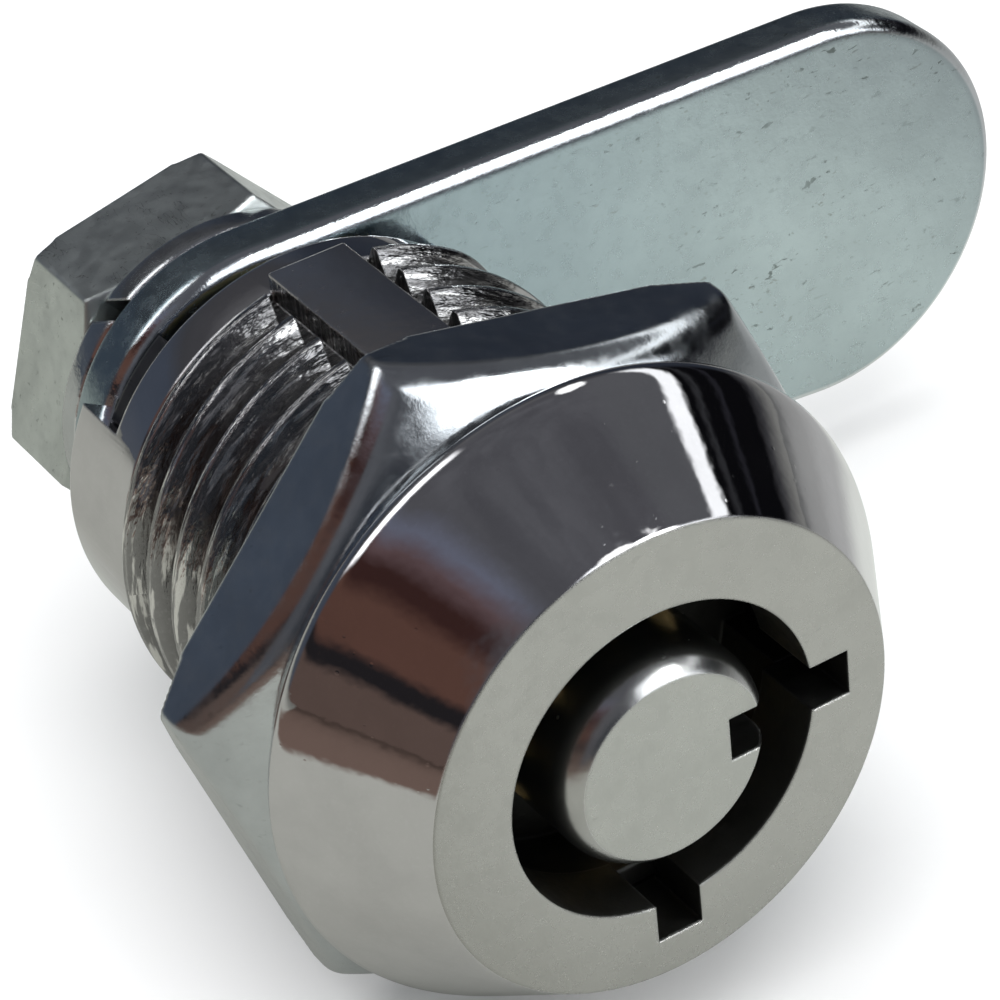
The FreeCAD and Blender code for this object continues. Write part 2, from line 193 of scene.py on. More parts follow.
def rounded(corners, steps=4):
    """An outline of (radius, y) points from corners given as (radius, y, rounding)."""
    outline = []
    count = len(corners)
    for k, (x, y, size) in enumerate(corners):
        here = Vector((x, y))
        if not size:
            outline.append(here)
            continue
        before = Vector(corners[k - 1][:2]) - here
        after = Vector(corners[(k + 1) % count][:2]) - here
        half = before.angle(after) / 2
        reach = size / math.tan(half)
        start = here + before.normalized() * min(reach, 0.49 * before.length)
        end = here + after.normalized() * min(reach, 0.49 * after.length)
        for j in range(steps + 1):
            t = j / steps
            outline.append(start * (1 - t) ** 2 + here * 2 * t * (1 - t) + end * t ** 2)
    return [(p.x, p.y) for p in outline]


def lathe(name, outline, segments=288):
    """A closed solid of revolution about the lock's axis from a closed (radius, y) outline."""
    bm = bmesh.new()
    loops = []
    for radius, y in outline:
        if radius < 1e-6:
            loops.append([bm.verts.new((0, y * MM, 0))])
        else:
            loops.append([bm.verts.new(spot(radius, 360 * k / segments, y)) for k in range(segments)])
    join_loops(bm, loops + loops[:1])
    return to_object(name, bm)


def sweep(name, outline, start, end, rise=0.0, segments=200, shape=None):
    """An outline of (radius, y) points carried round the axis from start to end degrees.
    rise moves it rearward on the way, and shape(t, radius, y) may bend it; both ends are capped."""
    bm = bmesh.new()
    loops = []
    for k in range(segments + 1):
        t = k / segments
        loop = []
        for radius, y in outline:
            if shape:
                radius, y = shape(t, radius, y)
            loop.append(bm.verts.new(spot(radius, start + (end - start) * t, y + rise * t)))
        loops.append(loop)
    join_loops(bm, loops)
    bm.faces.new(loops[0])
    bm.faces.new(loops[-1])
    return to_object(name, bm)


def block(name, low, high, angle=0.0, edge=0.0, lean=0.0):
    """A box between two corners in mm, its edges rounded, turned about the lock's axis."""
    bm = bmesh.new()
    bmesh.ops.create_cube(bm, size=1.0)
    low, high = Vector(low), Vector(high)
    size = high - low
    for v in bm.verts:
        v.co = Vector((v.co.x * size.x, v.co.y * size.y, v.co.z * size.z)) + (low + high) / 2
    if lean:
        middle = (low + high) / 2
        bmesh.ops.rotate(bm, verts=bm.verts, cent=middle, matrix=Matrix.Rotation(math.radians(lean), 3, "X"))
    if edge:
        bmesh.ops.bevel(bm, geom=bm.edges[:], offset=edge, segments=3, profile=0.5, affect="EDGES")
    bmesh.ops.rotate(bm, verts=bm.verts, cent=(0, 0, 0), matrix=Matrix.Rotation(math.radians(-angle), 3, "Y"))
    bmesh.ops.scale(bm, verts=bm.verts, vec=(MM, MM, MM))
    return to_object(name, bm)


def rod(name, radius, centre, along, length, segments=48):
    """A round cutter in mm from a centre point along a direction."""
    bm = bmesh.new()
    bmesh.ops.create_cone(
        bm, cap_ends=True, segments=segments, radius1=radius * MM, radius2=radius * MM, depth=length * MM)
    turn = Vector((0, 0, 1)).rotation_difference(Vector(along)).to_matrix().to_4x4()
    middle = (Vector(centre) + Vector(along).normalized() * length / 2) * MM
    bmesh.ops.transform(bm, verts=bm.verts, matrix=Matrix.Translation(middle) @ turn)
    return to_object(name, bm)


def combine(base, operation, *others):
    """Adds, cuts or intersects solids into base, and removes the others."""
    for other in others:
        modifier = base.modifiers.new("combine", "BOOLEAN")
        modifier.operation = operation
        modifier.solver = "MANIFOLD"
        modifier.object = other
    graph = bpy.context.evaluated_depsgraph_get()
    mesh = bpy.data.meshes.new_from_object(base.evaluated_get(graph))
    base.modifiers.clear()
    base.data = mesh
    for other in others:
        bpy.data.objects.remove(other)


def finish_piece(obj, body, node, materials, crease=30):
    """Shades a piece, gives it its materials, and makes it stand for its CAD node."""
    mesh = obj.data
    mesh.materials.clear()
    for material in materials:
        mesh.materials.append(material)
    mesh.shade_smooth()
    mesh.set_sharp_from_angle(angle=math.radians(crease))
    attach(obj, body)
    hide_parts(node)


def thread_ridge(name, root_r, crest_r, pitch, turns, end_y, end_angle, per_turn=144):
    """A right-hand helical ridge with rounded crest that runs out at both ends."""
    sunk = root_r - THREAD_FOOT_DEPTH
    outline = [
        (sunk, -0.46 * pitch), (crest_r - 0.05, -0.10 * pitch), (crest_r - 0.012, -0.075 * pitch),
        (crest_r, -0.04 * pitch), (crest_r, 0.04 * pitch), (crest_r - 0.012, 0.075 * pitch),
        (crest_r - 0.05, 0.10 * pitch), (sunk, 0.46 * pitch),
    ]
    run_out = 0.08 / turns

    def fade(t, radius, y):
        near_end = min(t, 1 - t) / run_out
        keep = min(1.0, near_end)
        keep = keep * keep * (3 - 2 * keep)
        return sunk + (radius - sunk) * (0.25 + 0.75 * keep), y

    low = [(r, y + end_y) for r, y in outline]
    return sweep(name, low, end_angle, end_angle + 360 * turns, -pitch * turns,
                 per_turn * turns, fade)


# ---------------------------------------------------------------- material helpers

class Shader:
    """A small builder for node materials whose texture space is the part's own frame in mm."""

    def __init__(self, name):
        self.material = bpy.data.materials.new(name)
        self.material.use_nodes = True
        self.tree = self.material.node_tree
        self.tree.nodes.clear()
        self.out = self.node("OutputMaterial")
        self.bsdf = self.node("BsdfPrincipled")
        self.tree.links.new(self.bsdf.outputs["BSDF"], self.out.inputs["Surface"])
        coords = self.node("TexCoord").outputs["Object"]
        self.place = self.vector("SCALE", coords, scale=1 / MM)
        self.edge_normal = None

    def node(self, kind, **settings):
        made = self.tree.nodes.new("ShaderNode" + kind)
        for key, value in settings.items():
            setattr(made, key, value)
        return made

    def feed(self, socket, value):
        if isinstance(value, bpy.types.NodeSocket):
            self.tree.links.new(value, socket)
        else:
            socket.default_value = value

    def math(self, operation, a, b=0.0, extra=0.0):
        made = self.node("Math", operation=operation)
        self.feed(made.inputs[0], a)
        self.feed(made.inputs[1], b)
        self.feed(made.inputs[2], extra)
        return made.outputs[0]

    def vector(self, operation, a, b=None, scale=None):
        made = self.node("VectorMath", operation=operation)
        self.feed(made.inputs[0], a)
        if b is not None:
            self.feed(made.inputs[1], b)
        if scale is not None:
            made.inputs["Scale"].default_value = scale
        return made.outputs["Value" if operation in ("DOT_PRODUCT", "LENGTH") else "Vector"]

    def around(self, radius, stretch):
        """Texture space unrolled from the lock's axis: along the curve, along the axis, outward."""
        split = self.node("SeparateXYZ")
        self.feed(split.inputs[0], self.place)
        x, y, z = split.outputs
        rolled = self.node("CombineXYZ")
        self.feed(rolled.inputs[0], self.math("MULTIPLY", self.math("ARCTAN2", z, x), radius))
        self.feed(rolled.inputs[1], y)
        out = self.math("SQRT", self.math("ADD", self.math("MULTIPLY", x, x), self.math("MULTIPLY", z, z)))
        self.feed(rolled.inputs[2], out)
        return self.vector("MULTIPLY", rolled.outputs[0], stretch)

    def nick(self, angle, radius, y, size):
        """A small rubbed spot at a point on the surface: 1 at its middle; size is (round, along, outward)."""
        middle = tuple(spot(radius, angle, y) / MM)
        offset = self.vector("SUBTRACT", self.place, middle)
        wobble = self.math("MULTIPLY", self.noise(3.5, detail=3), 0.8)
        far = self.math("SUBTRACT", self.vector("LENGTH", self.vector("DIVIDE", offset, size)), wobble)
        return self.span(far, 0.75, 0.25)

    def noise(self, scale, detail=3.0, stretch=None, rough=0.55, distort=0.0, place=None):
        made = self.node("TexNoise")
        place = place or self.place
        if stretch:
            place = self.vector("MULTIPLY", place, stretch)
        self.feed(made.inputs["Vector"], place)
        made.inputs["Scale"].default_value = scale
        made.inputs["Detail"].default_value = detail
        made.inputs["Roughness"].default_value = rough
        made.inputs["Distortion"].default_value = distort
        return made.outputs["Fac"]

    def cells(self, scale):
        """Distance to the nearest of a field of scattered points."""
        made = self.node("TexVoronoi")
        self.feed(made.inputs["Vector"], self.place)
        made.inputs["Scale"].default_value = scale
        made.inputs["Randomness"].default_value = 1.0
        return made.outputs["Distance"]

    def span(self, value, low, high, to_low=0.0, to_high=1.0):
        made = self.node("MapRange", interpolation_type="SMOOTHSTEP")
        self.feed(made.inputs["Value"], value)
        made.inputs["From Min"].default_value = low
        made.inputs["From Max"].default_value = high
        made.inputs["To Min"].default_value = to_low
        made.inputs["To Max"].default_value = to_high
        return made.outputs["Result"]

    def mix(self, amount, one, two):
        made = self.node("Mix", data_type="RGBA")
        self.feed(made.inputs["Factor"], amount)
        self.feed(made.inputs["A"], tint(one))
        self.feed(made.inputs["B"], tint(two))
        return made.outputs["Result"]

    def ramp(self, value, *stops):
        """Colour against a value from -1 to 1, from (value, colour) stops."""
        made = self.node("ValToRGB")
        elements = made.color_ramp.elements
        elements[0].position, elements[0].color = (stops[0][0] + 1) / 2, tint(stops[0][1])
        elements[1].position, elements[1].color = (stops[-1][0] + 1) / 2, tint(stops[-1][1])
        for at, color in stops[1:-1]:
            elements.new((at + 1) / 2).color = tint(color)
        self.feed(made.inputs["Fac"], self.math("MULTIPLY_ADD", value, 0.5, extra=0.5))
        return made.outputs["Color"]

    def bump(self, height, strength, distance, normal=None):
        made = self.node("Bump")
        made.inputs["Strength"].default_value = strength
        made.inputs["Distance"].default_value = distance * MM
        self.feed(made.inputs["Height"], height)
        if normal is not None:
            self.feed(made.inputs["Normal"], normal)
        return made.outputs["Normal"]

    def soft_edges(self, radius):
        """The shading normal with sharp edges rounded off over a radius in mm."""
        made = self.node("Bevel", samples=3)
        made.inputs["Radius"].default_value = radius * MM
        self.edge_normal = made.outputs["Normal"]
        return self.edge_normal

    def edge_mask(self):
        """1 along edges, 0 elsewhere, from how far the rounded normal leans from the true one."""
        true = self.node("NewGeometry").outputs["Normal"]
        lean = self.vector("DOT_PRODUCT", self.edge_normal, true)
        return self.span(lean, 0.995, 0.90)

    def crevice(self, distance):
        """1 in the open, lower deep in a part's own grooves and corners."""
        made = self.node("AmbientOcclusion", samples=2, only_local=True)
        made.inputs["Distance"].default_value = distance * MM
        return made.outputs["AO"]

    def done(self, color, roughness, normal, metallic=1.0):
        self.feed(self.bsdf.inputs["Base Color"], tint(color))
        self.feed(self.bsdf.inputs["Roughness"], roughness)
        self.feed(self.bsdf.inputs["Metallic"], metallic)
        self.feed(self.bsdf.inputs["Normal"], normal)
        return self.material


def tint(color):
    """A colour as four numbers; a socket stays as it is."""
    return (*color, 1.0) if isinstance(color, tuple) and len(color) == 3 else color


def scratches(s, scale, stretch, amount=0.06):
    """Thin straight marks: 1 on a mark, 0 elsewhere."""
    field = s.noise(scale, detail=1.5, stretch=stretch)
    ridge = s.math("ABSOLUTE", s.math("SUBTRACT", field, 0.5))
    patches = s.span(s.noise(0.35, detail=2), 0.45, 0.62)
    return s.math("MULTIPLY", s.span(ridge, amount * 0.18, 0.0), patches)


def chrome(name, color=(0.70, 0.70, 0.71), rough=0.05, peel=0.012, soiling_and_shade=0.0, wear=0.4,
           streaks=0.0, nicks=()):
    """Bright plate: smudges, specks, slight orange peel, bright rubbed edges.
    streaks adds broken marks that run round the axis, and nicks are small white rubbed spots."""
    s = Shader(name)
    smudge = s.noise(0.42, detail=5, rough=0.62)
    fine = s.noise(6.5, detail=3)
    dots = s.math("MULTIPLY", s.span(s.cells(2.3), 0.17, 0.07), s.span(s.noise(0.6, detail=2), 0.46, 0.62))
    roughness = s.span(smudge, 0.35, 0.75, rough, rough + 0.05)
    roughness = s.math("ADD", roughness, s.math("MULTIPLY", dots, 0.08))
    dull = tuple(c * 0.88 for c in color)
    base = s.mix(s.span(smudge, 0.3, 0.8), color, dull)
    base = s.mix(s.math("MULTIPLY", s.span(fine, 0.52, 0.75), 0.10), base, (0.9, 0.9, 0.95))
    if streaks:
        rubbed = s.span(s.noise(1.0, detail=4, place=s.around(8.0, (0.5, 6.5, 0.5))), 0.52, 0.60)
        base = s.mix(rubbed, base, (0.88, 0.88, 0.86))
    # painted shade and dirt: colour darkened in the part's own grooves and corners, found by ambient
    # occlusion
    if soiling_and_shade:
        open_air = s.span(s.crevice(1.1), 0.25, 0.85)
        soil_and_shade = s.math("MULTIPLY", s.math("SUBTRACT", 1.0, open_air), soiling_and_shade)
        base = s.mix(soil_and_shade, base, (0.035, 0.032, 0.03))
        roughness = s.math("ADD", roughness, s.math("MULTIPLY", soil_and_shade, 0.3))
    normal = s.soft_edges(0.09)
    edges = s.math("MULTIPLY", s.edge_mask(), wear)
    base = s.mix(edges, base, (0.86, 0.86, 0.86))
    normal = s.bump(s.noise(1.1, detail=2), peel, 1.0, normal)
    if streaks:
        normal = s.bump(s.noise(1.0, detail=4, place=s.around(8.0, (0.55, 4.0, 0.5))), streaks, 0.12, normal)
    else:
        normal = s.bump(dots, 0.10, 0.012, normal)
    metallic = 1.0
    for angle, radius, y, size in nicks:
        mark = s.math("MULTIPLY", s.nick(angle, radius, y, size), 0.8)
        base = s.mix(mark, base, (0.95, 0.95, 0.95))
        metallic = s.math("SUBTRACT", metallic, mark)
    return s.done(base, roughness, normal, metallic)


def zinc(name, color, rough=0.34, speckle=0.5, soiling_and_shade=0.0, wear=0.5, grain=0.05, clouds=1.0,
         crowded=None, shift=None, rolled=0.0, uneven=0.10):
    """Zinc plate: mottled grey with short pits and dark specks, painted shade and dirt in hollows, bright on
    edges.
    crowded(shader) gives where the pits are dense, shift(shader, color) may vary the base colour, and
    rolled is how much smoother an edge rolled towards the front is."""
    s = Shader(name)
    cloud = s.noise(0.30, detail=6, rough=0.62)
    mid = s.noise(1.6, detail=4, rough=0.6)
    fine = s.noise(7.0, detail=3)
    crowd = s.span(s.noise(0.22, detail=3), 0.40, 0.62, 0.25, 1.0)
    if crowded:
        crowd = s.math("MULTIPLY", crowd, crowded(s))
    pits = s.span(s.noise(2.6, detail=3, stretch=(0.62, 1.0, 1.25), rough=0.6, distort=0.4), 0.635, 0.70)
    pits = s.math("MULTIPLY", s.math("MULTIPLY", pits, crowd), speckle)
    flecks = s.span(s.noise(6.0, detail=2, stretch=(0.55, 1.0, 1.2)), 0.66, 0.72)
    flecks = s.math("MULTIPLY", s.math("MULTIPLY", flecks, crowd), speckle)
    marks = scratches(s, 1.1, (4.0, 1.0, 1.0))
    pale = tuple(min(1.0, c * (1 + 0.06 * clouds)) for c in color)
    dark = tuple(c * (1 - 0.12 * clouds) for c in color)
    dull = tuple(c * 0.72 for c in color)
    base = s.mix(s.span(cloud, 0.32, 0.70), dark, pale)
    if shift:
        base = shift(s, base)
    base = s.mix(s.span(mid, 0.50, 0.75, 0.0, 0.16 * clouds), base, dull)
    base = s.mix(pits, base, (0.12, 0.14, 0.13))
    base = s.mix(s.math("MULTIPLY", flecks, 0.7), base, (0.20, 0.21, 0.19))
    # painted shade and dirt: colour darkened in the part's own grooves and corners, found by ambient
    # occlusion
    if soiling_and_shade:
        open_air = s.span(s.crevice(1.2), 0.2, 0.8)
        soil_and_shade = s.math("MULTIPLY", s.math("SUBTRACT", 1.0, open_air), soiling_and_shade)
        base = s.mix(soil_and_shade, base, (0.05, 0.048, 0.042))
    normal = s.soft_edges(0.14)
    edges = s.math("MULTIPLY", s.edge_mask(), wear)
    base = s.mix(edges, base, (0.88, 0.91, 0.92))
    roughness = s.span(mid, 0.3, 0.7, rough - 0.05, rough + 0.08)
    roughness = s.math("ADD", roughness, s.math("MULTIPLY", pits, 0.25))
    roughness = s.math("SUBTRACT", roughness, s.math("MULTIPLY", marks, 0.1))
    if rolled:
        facing = s.vector("DOT_PRODUCT", s.node("NewGeometry").outputs["Normal"], (0, -1, 0))
        on_edge = s.math("MULTIPLY", s.span(facing, 0.97, 0.90), s.span(facing, 0.15, 0.35))
        roughness = s.math("SUBTRACT", roughness, s.math("MULTIPLY", on_edge, rolled))
        base = s.mix(s.math("MULTIPLY", on_edge, 0.7), base, (0.86, 0.88, 0.90))
    normal = s.bump(cloud, uneven, 0.5, normal)
    normal = s.bump(fine, grain, 0.12, normal)
    normal = s.bump(pits, -0.5, 0.03, normal)
    return s.done(base, roughness, normal)


def turned_metal(name, color, rough=0.22, metallic=1.0):
    """Lathe-turned metal: fine rings across the axis, light tarnish."""
    s = Shader(name)
    rings = s.noise(3.0, detail=3, stretch=(0.4, 9.0, 0.4))
    cloud = s.noise(1.3, detail=4)
    dark = tuple(c * 0.62 for c in color)
    base = s.mix(s.span(cloud, 0.35, 0.72), color, dark)
    roughness = s.span(cloud, 0.3, 0.7, rough, rough + 0.14)
    normal = s.bump(rings, 0.16, 0.03, s.soft_edges(0.05))
    return s.done(base, roughness, normal, metallic)


def toward_tip(s):
    """Pits on the cam: few at the hub, many at the tip."""
    split = s.node("SeparateXYZ")
    s.feed(split.inputs[0], s.place)
    return s.span(split.outputs["X"], 4, 24, 0.25, 1.0)


def bluer_hub(s, base):
    """The cam's plate is darker and bluer towards the hub."""
    split = s.node("SeparateXYZ")
    s.feed(split.inputs[0], s.place)
    near = s.span(split.outputs["X"], 22, 6)
    return s.mix(s.math("MULTIPLY", near, 0.55), base, (0.28, 0.37, 0.42))


# ---------------------------------------------------------------- materials

RIM_NICKS = ((87, 10.0, -0.5, (0.50, 0.12, 0.28)), (97, 7.55, FACE_Y + 0.06, (0.66, 0.10, 0.25)))
CASE_CHROME = chrome("case_chrome", rough=0.015, peel=0.008, nicks=RIM_NICKS)
CASE_THREAD = chrome("case_thread", (0.32, 0.32, 0.32), rough=0.08, soiling_and_shade=0.9, wear=0.9, peel=0.03,
                     streaks=0.9)
CASE_LAND = chrome("case_land", (0.66, 0.64, 0.63), rough=0.20, peel=0.03, wear=0.3)
CASE_FACE = zinc("case_face", (0.415, 0.415, 0.395), rough=0.26, speckle=0.10, wear=0.2, grain=0.04,
                 clouds=0.25)
# near-black painted shade for the inside of the bore, keyway, notches and drum, drawn dark in place of their
# shade
INNER_SHADE_PAINT = zinc("bore_painted_shade", (0.07, 0.07, 0.065), rough=0.5, speckle=0.2, soiling_and_shade=0.9, wear=0.1)
POST_METAL = chrome("post_satin", (0.60, 0.61, 0.60), rough=0.21, peel=0.02, wear=0.3)
POST_FACE = zinc("post_face", (0.445, 0.452, 0.43), rough=0.28, speckle=0.12, wear=0.2, grain=0.05,
                 clouds=0.3)
NUT_ZINC = zinc("mounting_nut_zinc", (0.62, 0.66, 0.68), rough=0.12, speckle=0.22, wear=0.9, grain=0.02,
                uneven=0.03)
CAM_ZINC = zinc("cam_zinc", (0.475, 0.56, 0.575), rough=0.22, speckle=0.8, wear=0.8, clouds=0.6,
                crowded=toward_tip, shift=bluer_hub, rolled=0.15)
CAM_NUT_ZINC = zinc("cam_nut_zinc", (0.67, 0.72, 0.70), rough=0.33, speckle=0.8, wear=0.7, soiling_and_shade=0.4)
WASHER_ZINC = zinc("washer_zinc", (0.58, 0.61, 0.62), rough=0.15, speckle=0.4, wear=0.8, soiling_and_shade=0.5,
                   rolled=0.12)
# stop washer painted near black as the shade in the gap between collar and cam
STOP_WASHER_SHADE = zinc("stop_washer_painted_shade", (0.10, 0.10, 0.105), rough=0.34, speckle=0.5, wear=0.2, soiling_and_shade=0.9)
PIN_BRASS = turned_metal("pin_brass", (0.78, 0.56, 0.25), metallic=0.55)
CARRIER_BRASS = turned_metal("carrier_brass", (0.62, 0.45, 0.21), rough=0.3)
DRIVER_METAL = turned_metal("driver_nickel_silver", (0.60, 0.58, 0.54))
PIN_STEEL = turned_metal("cross_pin_steel", (0.50, 0.50, 0.50), rough=0.3)
SPRING_STEEL = turned_metal("spring_steel", (0.42, 0.43, 0.45), rough=0.25)


# ---------------------------------------------------------------- pieces

def lock_case():
    """Conical head, keyhole lip, threaded barrel with two lands, collar and stop skirt."""
    outline = rounded([
        (KEYHOLE_R, FACE_Y, 0.06), (HEAD_FRONT_R + 0.02, FACE_Y, 0.12),
        (HEAD_BACK_R + 0.02, -HEAD_EDGE * 1.3, 3.0), (HEAD_BACK_R - 0.05, -0.02, 0.30),
        (HEAD_BACK_R - HEAD_EDGE, 0.0, 0.0),
        (THREAD_ROOT_R, 0.0, 0.0), (THREAD_ROOT_R, COLLAR_FRONT_Y, 0.0),
        (COLLAR_R, COLLAR_FRONT_Y, 0.12), (COLLAR_R, BARREL_END_Y, 0.2),
        (BORE_R, BARREL_END_Y, 0.1), (BORE_R, LIP_REAR_Y, 0.0), (KEYHOLE_R, LIP_REAR_Y, 0.0),
    ], steps=5)
    case = lathe("lock_case", outline, segments=360)
    ridge = thread_ridge(
        "ridge", THREAD_ROOT_R, THREAD_R, THREAD_PITCH, THREAD_TURNS,
        COLLAR_FRONT_Y - THREAD_END_GAP, THREAD_END_ANGLE)
    combine(case, "UNION", ridge)
    half = LAND_WIDTH / 2
    clearing = half + LAND_GROOVE
    floor = THREAD_ROOT_R - 0.15
    grooves = [
        block("groove", (floor, 0.0, -clearing), (floor + 2, COLLAR_FRONT_Y, clearing), angle)
        for angle in LAND_ANGLES]
    combine(case, "DIFFERENCE", *grooves)
    lands = [
        block("land", (BORE_R + 0.2, 0.0, -half), (LAND_TOP, COLLAR_FRONT_Y + 0.2, half), angle, edge=0.09)
        for angle in LAND_ANGLES]
    combine(case, "UNION", *lands)
    skirt_root_y = BARREL_END_Y - 0.4
    skirt_outline = rounded([
        (BORE_R, skirt_root_y, 0), (COLLAR_R, skirt_root_y, 0),
        (COLLAR_R, SKIRT_REAR_Y, 0.14), (BORE_R, SKIRT_REAR_Y, 0.08)])
    skirt = sweep("skirt", skirt_outline, SKIRT_START, SKIRT_START + SKIRT_SPAN)
    combine(case, "UNION", skirt)
    half = NOTCH_WIDTH / 2
    notches = [
        block("notch", (3, FACE_Y - 1, -half), (NOTCH_R, LIP_REAR_Y + 0.1, half), angle)
        for angle in NOTCH_ANGLES]
    notches.append(rod("cross_hole", CROSS_PIN_R, (BORE_R - 1, CROSS_PIN_Y, 0), (1, 0, 0), 4))
    combine(case, "DIFFERENCE", *notches)
    metals = [CASE_CHROME, CASE_THREAD, CASE_FACE, INNER_SHADE_PAINT, CASE_LAND]
    finish_piece(case, "housing", "housing", metals)
    for face in case.data.polygons:
        c = face.center / MM
        radius = math.hypot(c.x, c.z)
        metal = CASE_CHROME
        if c.y < FACE_Y + ON_SURFACE:
            metal = CASE_FACE
        # faces inside the bore and notches get the near-black painted shade
        elif radius < NOTCH_R + 0.12 and c.y < BARREL_END_Y - 0.2:
            metal = INNER_SHADE_PAINT
        elif 0.0 < c.y < COLLAR_FRONT_Y + ON_SURFACE:
            on_land = abs(c.x) < LAND_WIDTH / 2 + 0.01 and abs(c.z) > LAND_TOP - 0.12
            metal = CASE_LAND if on_land else CASE_THREAD
        face.material_index = metals.index(metal)


def spindle():
    """Domed keyed post, drum with the pin holes, stem, and squared threaded tail."""
    dome = []
    side = POST_R - POST_FLAT_R
    dome_r = (side ** 2 + POST_DOME ** 2) / (2 * side)
    sweep_angle = math.asin(POST_DOME / dome_r)
    steps = 14
    for k in range(steps + 1):
        a = sweep_angle * (1 - k / steps)
        dome.append((POST_R - dome_r * (1 - math.cos(a)), POST_TOP_Y + POST_DOME - dome_r * math.sin(a)))
    body_outline = dome + rounded([
        (POST_R, KEYWAY_FLOOR_Y, 0.0), (KEYWAY_R, KEYWAY_FLOOR_Y, 0.0),
        (KEYWAY_R, DRUM_FRONT_Y, 0.05), (DRUM_R, DRUM_FRONT_Y, 0.1), (DRUM_R, SHEAR_Y, 0.05),
        (STEM_R, SHEAR_Y, 0.0), (STEM_R, BARREL_END_Y, 0.0), (0, BARREL_END_Y, 0.0),
    ]) + [(0, POST_TOP_Y)]
    body = lathe("spindle_core", body_outline)
    start = BARREL_END_Y - 1
    tail = lathe("tail", [
        (0, start), (STEM_R, start), (STEM_R, CAM_FRONT_Y), (TAIL_ROOT_R, CAM_FRONT_Y + 0.3),
        (TAIL_ROOT_R, TAIL_END_Y - 0.12), (TAIL_ROOT_R - 0.12, TAIL_END_Y), (0, TAIL_END_Y)])
    ridge = thread_ridge(
        "tail_ridge", TAIL_ROOT_R, STEM_R, TAIL_PITCH, TAIL_TURNS, TAIL_END_Y - TAIL_THREAD_GAP, 0,
        per_turn=96)
    combine(tail, "UNION", ridge)
    half = TAIL_SQUARE / 2
    squared = block("square", (-half, start - 1, -half), (half, TAIL_END_Y + 1, half), edge=0.08)
    combine(tail, "INTERSECT", squared)
    combine(body, "UNION", tail)
    half = POST_NOTCH_WIDTH / 2
    cutters = [
        block("post_notch", (POST_NOTCH_FLOOR, POST_TOP_Y - 2, -half),
              (POST_R + 0.6, POST_TOP_Y + POST_NOTCH_DEPTH, half)),
        block("nib_slot", (KEYWAY_R - 0.4, DRUM_FRONT_Y - 1, -NOTCH_WIDTH / 2),
              (DRUM_R + 1, KEYWAY_FLOOR_Y, NOTCH_WIDTH / 2))]
    for angle in PIN_ANGLES:
        place = spot(PIN_CIRCLE_R, angle, KEYWAY_FLOOR_Y - 1) / MM
        cutters.append(rod("pin_hole", PIN_HOLE_R, place, (0, 1, 0), 6))
    combine(body, "DIFFERENCE", *cutters)
    metals = [POST_METAL, POST_FACE, INNER_SHADE_PAINT]
    finish_piece(body, "spindle", "spindle", metals)
    for face in body.data.polygons:
        c = face.center / MM
        in_keyway = math.hypot(c.x, c.z) > POST_R + ON_SURFACE or c.y > KEYWAY_FLOOR_Y - ON_SURFACE
        in_notch = c.x > POST_NOTCH_FLOOR - ON_SURFACE and abs(c.z) < POST_NOTCH_WIDTH / 2 + ON_SURFACE
        metal = POST_METAL
        if c.y < POST_TOP_Y + ON_SURFACE:
            metal = POST_FACE
        # keyway, drum and post notch walls get the near-black painted shade
        elif c.y < SHEAR_Y and (in_keyway or in_notch):
            metal = INNER_SHADE_PAINT
        face.material_index = metals.index(metal)


def soft_min(a, b, k):
    """The lower of two numbers, blended over a width k."""
    h = max(k - abs(a - b), 0.0) / k
    return min(a, b) - h * h * k / 4


def hex_radius(flats, angle):
    """Radius of a hexagon with slightly rounded corners, at an angle from one of its corners."""
    power = 150
    total = 0.0
    for k in range(6):
        c = math.cos(math.radians(angle - 30 - 60 * k))
        if c > 0:
            total += c ** power
    return flats / 2 / total ** (1 / power)


def hex_angles(per_side):
    """Angles round a hexagon from a corner, closest together near the corners."""
    angles = []
    for side in range(6):
        for k in range(per_side):
            t = k / per_side
            eased = t - math.sin(2 * math.pi * t) / (2 * math.pi)
            angles.append(60 * side + 60 * (0.75 * eased + 0.25 * t))
    return angles


def nut(name, flats, bore_r, front_y, rear_y, phase, front_face, front_curve, edge):
    """A hexagonal nut: curved front chamfer with a soft crest, small rear chamfer, countersunk bore.
    front_curve gives the front chamfer's slope at its inner edge and how fast it steepens, and edge is
    the width over which the chamfer blends into the flats."""
    slope, steepen = front_curve
    front_r, rear_r = front_face * flats, PLAIN_NUT_FACE * flats
    corner_r = flats / math.sqrt(3)
    rear_slope = math.tan(math.radians(PLAIN_NUT_SLOPE))
    rear_start = rear_y - rear_slope * (corner_r - rear_r)
    sink, rim = 0.35, 0.16
    inner = bore_r + sink

    def front_limit(y):
        """Radius of the turned front chamfer at a depth."""
        return front_r + (math.sqrt(slope ** 2 + 4 * steepen * max(0.0, y - front_y)) - slope) / (2 * steepen)

    # depths along the flats: close together at the front, then the rear chamfer and a rolled rear edge
    stations = []
    front_steps, rear_steps = 44, 8
    for k in range(front_steps + 1):
        y = front_y + (rear_start - rim - front_y) * (k / front_steps) ** 1.4
        stations.append((y, corner_r + 1, 0.0))
    for k in range(1, rear_steps + 1):
        t = k / rear_steps
        stations.append((
            rear_start - rim + (rear_y - rear_start) * t, corner_r + (rear_r - corner_r) * t, 0.0))
    for k in range(1, 6):
        a = math.radians(90 * k / 5)
        stations.append((rear_y - rim * (1 - math.sin(a)), rear_r, rim * (1 - math.cos(a))))
    bm = bmesh.new()
    angles = hex_angles(96)

    def ring(radius, y):
        return [bm.verts.new(spot(radius, phase + angle, y)) for angle in angles]

    loops = [ring(bore_r, front_y + sink), ring(inner, front_y)]
    for y, limit, inset in stations:
        front = front_limit(y)
        loop = []
        for angle in angles:
            r = min(soft_min(front, hex_radius(flats, angle), edge), limit) - inset
            loop.append(bm.verts.new(spot(r, phase + angle, y)))
        loops.append(loop)
    loops += [ring(inner, rear_y), ring(bore_r, rear_y - sink)]
    loops.append(loops[0])
    join_loops(bm, loops)
    return to_object(name, bm)


